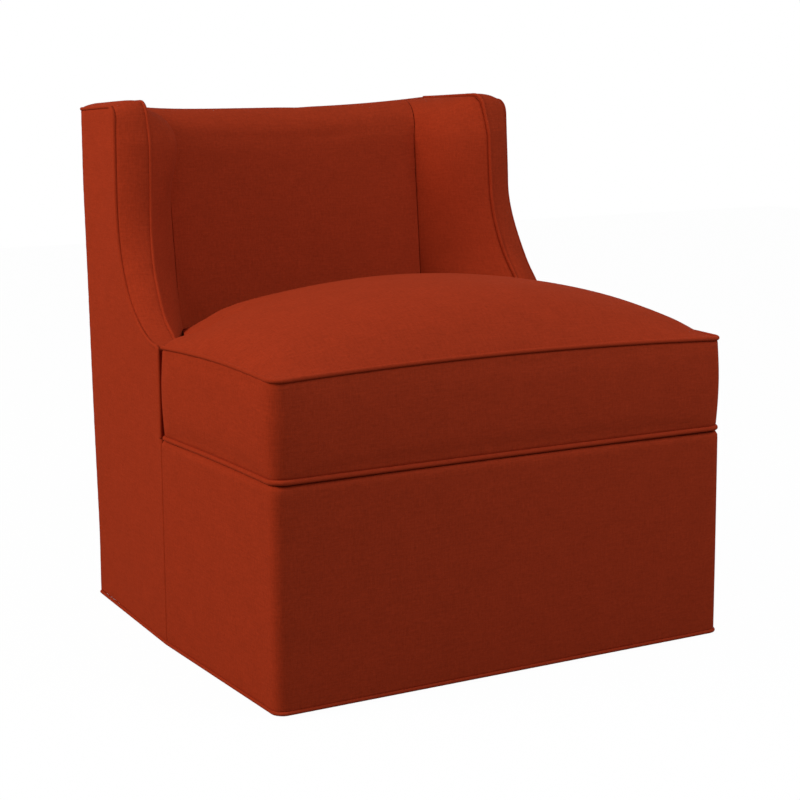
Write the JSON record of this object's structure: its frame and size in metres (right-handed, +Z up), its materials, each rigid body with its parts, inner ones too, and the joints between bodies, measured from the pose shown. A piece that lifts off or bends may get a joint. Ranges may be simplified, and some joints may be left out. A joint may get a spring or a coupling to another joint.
{
  "type": "slipper chair",
  "caption": "Low armless upholstered chair on a covered box base, with a loose crowned T-shaped seat cushion and wings that sweep down from a low back.",
  "frame": {"origin": "on the floor, at the middle of the chair's overall width and depth", "axes": "+Z up, -Y towards the front of the chair, +X to the right as seen from the front"},
  "size_m": [0.7104, 0.676, 0.764],
  "materials": {
    "fabric": "soft slubbed weave in rust red",
    "welt": "piping covered in the same rust red weave",
    "plywood": "raw birch plywood",
    "hardwood": "planed hardwood, unfinished",
    "foam": "open-cell polyurethane foam",
    "fibre": "polyester fibre wrap",
    "lining": "black non-woven lining",
    "spring_steel": "drawn spring wire",
    "nylon": "moulded nylon",
    "webbing": "woven jute webbing",
    "zip_fabric": "boxing of the same weave with a zip sewn in",
    "zip_metal": "plated zip slider"
  },
  "bodies": {
    "chair": {"base_cover": "fabric", "outside_wing_panel_right": "fabric", "outside_wing_panel_left": "fabric", "wing_boxing_right": "fabric", "wing_boxing_left": "fabric", "inside_back_panel": "fabric", "inside_wing_panel_right": "fabric", "inside_wing_panel_left": "fabric", "outside_back_panel": "fabric", "base_welt": "welt", "wing_outer_welt_right": "welt", "wing_outer_welt_left": "welt", "wing_inner_welt_right": "welt", "wing_inner_welt_left": "welt", "back_top_welt": "welt", "wing_frame_right": "plywood", "wing_frame_left": "plywood", "front_apron": "plywood", "side_apron_right": "plywood", "side_apron_left": "plywood", "back_apron": "plywood", "corner_post_right": "hardwood", "corner_post_left": "hardwood", "back_post_right": "hardwood", "back_post_left": "hardwood", "top_back_rail": "hardwood", "seat_back_rail": "hardwood", "side_rail_right": "hardwood", "side_rail_left": "hardwood", "wing_edge_pad_right": "foam", "wing_edge_pad_left": "foam", "wing_foam_right": "foam", "wing_foam_left": "foam", "back_foam": "foam", "deck_pad": "fibre", "dust_cover": "lining", "deck_cloth": "lining", "seat_spring_1": "spring_steel", "seat_spring_2": "spring_steel", "seat_spring_3": "spring_steel", "seat_spring_4": "spring_steel", "seat_spring_5": "spring_steel", "glide_front_right": "nylon", "glide_front_left": "nylon", "glide_rear_right": "nylon", "glide_rear_left": "nylon", "back_webbing": "webbing"},
    "seat_cushion": {"cushion_top_panel": "fabric", "cushion_top_welt": "welt", "cushion_bottom_welt": "welt", "cushion_bottom_panel": "fabric", "cushion_boxing": "fabric", "cushion_zip_boxing": "zip_fabric", "cushion_core": "foam", "cushion_ear_right": "foam", "cushion_ear_left": "foam", "cushion_fibre": "fibre", "cushion_crown": "foam"},
    "zip_slider": {"zip_slider": "zip_metal"}
  },
  "joints": [
    {"name": "cushion_lift", "type": "slide", "parent": "chair", "child": "seat_cushion", "axis": [0, 0, 1], "range_m": [0, 0.465]},
    {"name": "zip_slide", "type": "slide", "parent": "seat_cushion", "child": "zip_slider", "axis": [-1, 0, 0], "range_m": [0, 0.362]}
  ]
}
